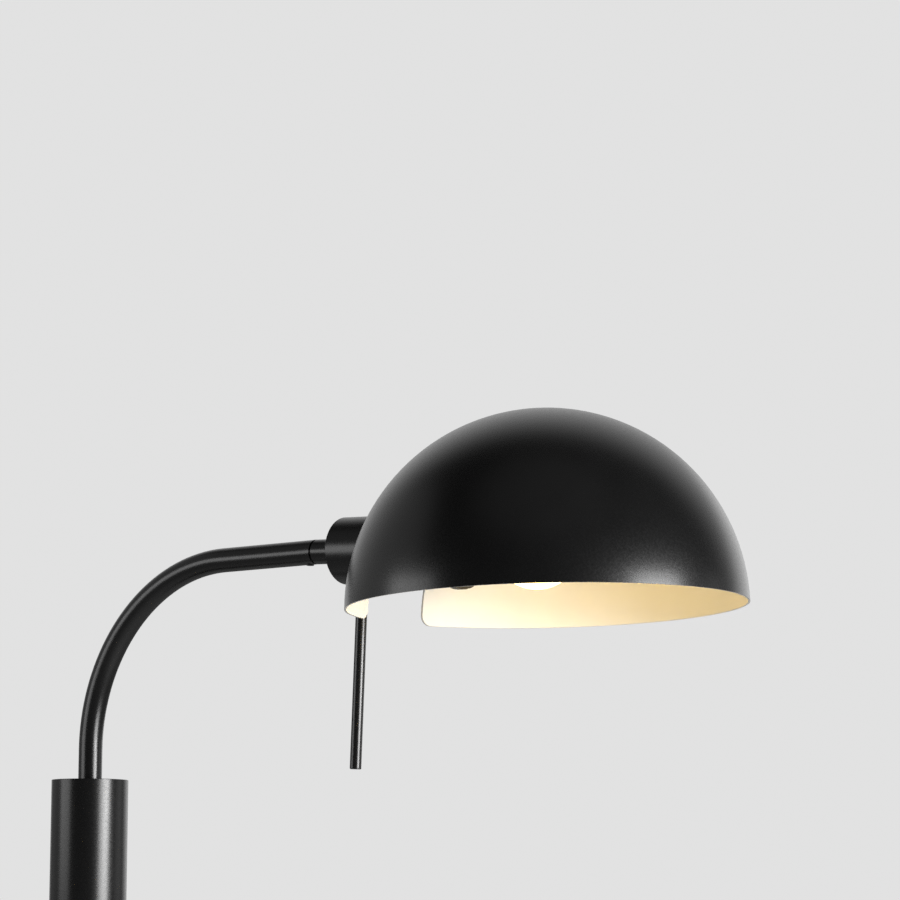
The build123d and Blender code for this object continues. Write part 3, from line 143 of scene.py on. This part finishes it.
class Shader:
    """A material under construction: its node tree and its Principled shader."""

    def __init__(self, name):
        self.material = bpy.data.materials.new(name)
        self.material.use_nodes = True
        self.nodes = self.material.node_tree.nodes
        self.links = self.material.node_tree.links
        self.nodes.clear()
        self.principled = self.nodes.new("ShaderNodeBsdfPrincipled")
        output = self.nodes.new("ShaderNodeOutputMaterial")
        self.links.new(self.principled.outputs["BSDF"], output.inputs["Surface"])
        self.coordinates = self.nodes.new("ShaderNodeTexCoord").outputs["Object"]

    def set(self, **values):
        for name, value in values.items():
            self.principled.inputs[name.replace("_", " ")].default_value = value

    def plug(self, name, socket):
        self.links.new(socket, self.principled.inputs[name])

    def noise(self, per_metre, detail):
        noise = self.nodes.new("ShaderNodeTexNoise")
        noise.inputs["Scale"].default_value = per_metre
        noise.inputs["Detail"].default_value = detail
        self.links.new(self.coordinates, noise.inputs["Vector"])
        return noise.outputs["Fac"]

    def math(self, operation, socket, number):
        node = self.nodes.new("ShaderNodeMath")
        node.operation = operation
        self.links.new(socket, node.inputs[0])
        node.inputs[1].default_value = number
        return node.outputs["Value"]

    def spread(self, noise, low=0.0, high=1.0):
        """Stretches a noise's usual values to the range from low to high."""
        node = self.nodes.new("ShaderNodeMapRange")
        node.inputs["From Min"].default_value = NOISE_LOW
        node.inputs["From Max"].default_value = NOISE_HIGH
        node.inputs["To Min"].default_value = low
        node.inputs["To Max"].default_value = high
        self.links.new(noise, node.inputs["Value"])
        return node.outputs["Result"]

    def blend(self, factor, first, second):
        """Mixes two colours, each a tuple or a socket."""
        node = self.nodes.new("ShaderNodeMix")
        node.data_type = "RGBA"
        self.links.new(factor, node.inputs["Factor"])
        for name, value in (("A", first), ("B", second)):
            socket = next(item for item in node.inputs if item.name == name and item.type == "RGBA")
            if isinstance(value, tuple):
                socket.default_value = (*value, 1.0)
            else:
                self.links.new(value, socket)
        return next(item for item in node.outputs if item.type == "RGBA")

    def bump(self, height, depth, strength):
        node = self.nodes.new("ShaderNodeBump")
        node.inputs["Distance"].default_value = depth
        node.inputs["Strength"].default_value = strength
        self.links.new(height, node.inputs["Height"])
        self.plug("Normal", node.outputs["Normal"])


# ---------------------------------------------------------------------------------------------
# Materials


def coat_colour(shader):
    """Satin black powder coat: almost even, with a faint cloud."""
    return shader.blend(shader.spread(shader.noise(*COAT_CLOUD)), *COAT_COLOURS)


def coat_roughness(shader):
    return shader.spread(shader.noise(*COAT_GLOSS), *COAT_ROUGHNESS)


def coat_skin(shader):
    """The fine unevenness of the powder."""
    shader.bump(shader.noise(*COAT_SKIN), *COAT_BUMP)


def black_coat():
    shader = Shader("black_coat")
    shader.set(IOR=DIELECTRIC_IOR)
    shader.plug("Base Color", coat_colour(shader))
    shader.plug("Roughness", coat_roughness(shader))
    coat_skin(shader)
    return shader.material


def shade_centre():
    """The middle of the shade's sphere, ahead of the head's joint and below its axis."""
    joint = next(joint for joint in frame["joints"] if joint["name"] == "head_roll")
    axis = Vector(joint["axis"]).normalized()
    up = axis.cross(Vector((1.0, 0.0, 0.0)))
    return Vector(joint["pos_m"]) + axis * SHADE_CENTRE_AHEAD - up * SHADE_CENTRE_BELOW


def shade_coat():
    """The same coat outside, and warm white paint on the inner face and the rim's edge."""
    shader = Shader("shade_coat")
    shader.set(IOR=DIELECTRIC_IOR)
    distance = shader.nodes.new("ShaderNodeVectorMath")
    distance.operation = "DISTANCE"
    distance.inputs[1].default_value = shade_centre()
    shader.links.new(shader.coordinates, distance.inputs[0])
    edge = SHADE_RADIUS - SHADE_PAINT_EDGE
    outside = shader.math("GREATER_THAN", distance.outputs["Value"], edge)
    cream = shader.blend(shader.spread(shader.noise(*CREAM_CLOUD)), *CREAM_COLOURS)
    shader.plug("Base Color", shader.blend(outside, cream, coat_colour(shader)))
    roughness = shader.nodes.new("ShaderNodeMix")
    cream_roughness = shader.spread(shader.noise(*CREAM_GLOSS), *CREAM_ROUGHNESS)
    shader.links.new(outside, roughness.inputs["Factor"])
    shader.links.new(cream_roughness, roughness.inputs["A"])
    shader.links.new(coat_roughness(shader), roughness.inputs["B"])
    shader.plug("Roughness", roughness.outputs["Result"])
    coat_skin(shader)
    return shader.material


def plain_metal(name, dark, light, roughness):
    shader = Shader(name)
    shader.set(Metallic=1.0)
    grain = shader.noise(*METAL_GRAIN)
    shader.plug("Base Color", shader.blend(shader.spread(grain), dark, light))
    shader.plug("Roughness", shader.spread(shader.noise(*METAL_GLOSS), *roughness))
    shader.bump(grain, *METAL_BUMP)
    return shader.material


def moulded(name, dark, light, roughness):
    """Plastic, rubber and plain painted steel."""
    shader = Shader(name)
    shader.set(IOR=DIELECTRIC_IOR)
    cloud = shader.spread(shader.noise(*MOULDED_CLOUD))
    shader.plug("Base Color", shader.blend(cloud, dark, light))
    grain = shader.noise(*MOULDED_GRAIN)
    shader.plug("Roughness", shader.spread(grain, *roughness))
    shader.bump(grain, *MOULDED_BUMP)
    return shader.material


def lit_bulb():
    """Opal glass with its light on."""
    shader = Shader("opal_glass")
    shader.set(IOR=DIELECTRIC_IOR, Emission_Strength=GLOW_STRENGTH)
    cloud = shader.spread(shader.noise(*OPAL_CLOUD))
    shader.plug("Base Color", shader.blend(cloud, *OPAL_COLOURS))
    shader.plug("Roughness", shader.spread(shader.noise(*OPAL_GLOSS), *OPAL_ROUGHNESS))
    shader.plug("Emission Color", shader.blend(cloud, *GLOW_COLOURS))
    return shader.material


def dress():
    """Each node of the frame gets its slot's material, and the shade the two-sided one."""
    materials = {"black_coat": black_coat(), "opal_glass": lit_bulb()}
    materials.update({name: moulded(name, *finish) for name, finish in MOULDINGS.items()})
    materials.update({name: plain_metal(name, *finish) for name, finish in METALS.items()})
    two_sided = shade_coat()
    for part in frame["record"]["subparts"]:
        name = part["node"]
        slot_name = BLACK_RINGS.get(name, part["material_slot"])
        for slot in frame["nodes"][name].material_slots:
            slot.material = two_sided if name == "shade" else materials[slot_name]


# ---------------------------------------------------------------------------------------------
# Stage


def floor():
    """Pale floor, which the camera sees near the backdrop's level."""
    middle = (Vector(cad_box[0]) + Vector(cad_box[1])) / 2
    height = cad_box[0][2] - FLOOR_DROP
    mesh = bpy.data.meshes.new("floor")
    corners = [
        (middle.x + x * FLOOR_HALF, middle.y + y * FLOOR_HALF, height)
        for x, y in ((-1, -1), (1, -1), (1, 1), (-1, 1))
    ]
    mesh.from_pydata(corners, [], [(0, 1, 2, 3)])
    ground = bpy.data.objects.new("floor", mesh)
    bpy.context.scene.collection.objects.link(ground)
    shader = Shader("floor_paper")
    shader.plug("Base Color", shader.blend(shader.noise(*FLOOR_CLOUD), *FLOOR_COLOURS))
    shader.plug("Roughness", shader.spread(shader.noise(*FLOOR_GRAIN), *FLOOR_ROUGHNESS))
    shader.set(Emission_Color=(*BACKDROP, 1.0))
    seen = shader.nodes.new("ShaderNodeLightPath").outputs["Is Camera Ray"]
    shader.plug("Emission Strength", shader.math("MULTIPLY", seen, FLOOR_GLOW))
    shader.material.cycles.emission_sampling = "NONE"   # it lights nothing, so isn't sampled
    mesh.materials.append(shader.material)


def direction_from_camera(azimuth, elevation):
    """Unit vector at an azimuth to the right of the way to the camera, and an elevation."""
    turn = radians(CAMERA_AZIMUTH + azimuth)
    rise = radians(elevation)
    return Vector((sin(turn) * cos(rise), -cos(turn) * cos(rise), sin(rise)))


def world():
    """Flat backdrop for camera rays, and the dim room with its pale patches for all others."""
    scene_world = bpy.data.worlds.new("studio")
    bpy.context.scene.world = scene_world
    scene_world.use_nodes = True
    nodes = scene_world.node_tree.nodes
    links = scene_world.node_tree.links
    nodes.clear()
    direction = nodes.new("ShaderNodeTexCoord").outputs["Generated"]
    level = None
    for azimuth, elevation, end, full, pale in PALE_PATCHES:
        facing = nodes.new("ShaderNodeVectorMath")
        facing.operation = "DOT_PRODUCT"
        facing.inputs[1].default_value = direction_from_camera(azimuth, elevation)
        links.new(direction, facing.inputs[0])
        fade = nodes.new("ShaderNodeMapRange")
        fade.interpolation_type = "SMOOTHSTEP"
        fade.inputs["From Min"].default_value = end
        fade.inputs["From Max"].default_value = full
        fade.inputs["To Max"].default_value = pale
        links.new(facing.outputs["Value"], fade.inputs["Value"])
        total = nodes.new("ShaderNodeMath")
        links.new(fade.outputs["Result"], total.inputs[0])
        if level is None:
            total.inputs[1].default_value = DIM_ROOM
        else:
            links.new(level, total.inputs[1])
        level = total.outputs["Value"]
    around = nodes.new("ShaderNodeBackground")
    links.new(level, around.inputs["Color"])
    seen = nodes.new("ShaderNodeBackground")
    seen.inputs["Color"].default_value = (*BACKDROP, 1.0)
    mix = nodes.new("ShaderNodeMixShader")
    links.new(nodes.new("ShaderNodeLightPath").outputs["Is Camera Ray"], mix.inputs["Fac"])
    links.new(around.outputs["Background"], mix.inputs[1])
    links.new(seen.outputs["Background"], mix.inputs[2])
    output = nodes.new("ShaderNodeOutputWorld")
    links.new(mix.outputs["Shader"], output.inputs["Surface"])


def softbox(name, azimuth, elevation, distance, width, height, watts):
    """White area light that faces the shade's middle."""
    out = direction_from_camera(azimuth, elevation)
    light = bpy.data.lights.new(name, "AREA")
    light.shape = "RECTANGLE"
    light.size = width
    light.size_y = height
    light.energy = watts
    lamp = bpy.data.objects.new(name, light)
    lamp.location = shade_centre() + out * distance
    lamp.rotation_euler = out.to_track_quat("Z", "Y").to_euler()
    lamp.visible_camera = False
    bpy.context.scene.collection.objects.link(lamp)


def camera():
    azimuth, pitch, roll = (radians(v) for v in (CAMERA_AZIMUTH, CAMERA_PITCH, CAMERA_ROLL))
    right = Vector((cos(azimuth), sin(azimuth), 0.0))
    ahead = Vector((-sin(azimuth) * cos(pitch), cos(azimuth) * cos(pitch), sin(pitch)))
    up = right.cross(ahead)
    rolled_right = right * cos(roll) + up * sin(roll)
    rolled_up = up * cos(roll) - right * sin(roll)
    data = bpy.data.cameras.new("camera")
    data.sensor_width = SENSOR_WIDTH
    data.lens = SENSOR_WIDTH * CAMERA_FOCAL_LENGTH / PICTURE_WIDTH
    data.clip_start = CAMERA_CLIP_START
    view = bpy.data.objects.new("camera", data)
    turn = Matrix((rolled_right, rolled_up, -ahead)).transposed().to_4x4()
    place = BASE_AXIS + Vector((0.0, 0.0, BASE_TOP)) + CAMERA_FROM_BASE
    view.matrix_world = Matrix.Translation(place) @ turn
    bpy.context.scene.collection.objects.link(view)
    bpy.context.scene.camera = view


dress()
floor()
world()
for box in SOFTBOXES:
    softbox(*box)
camera()
bpy.context.scene.view_settings.view_transform = "Standard"
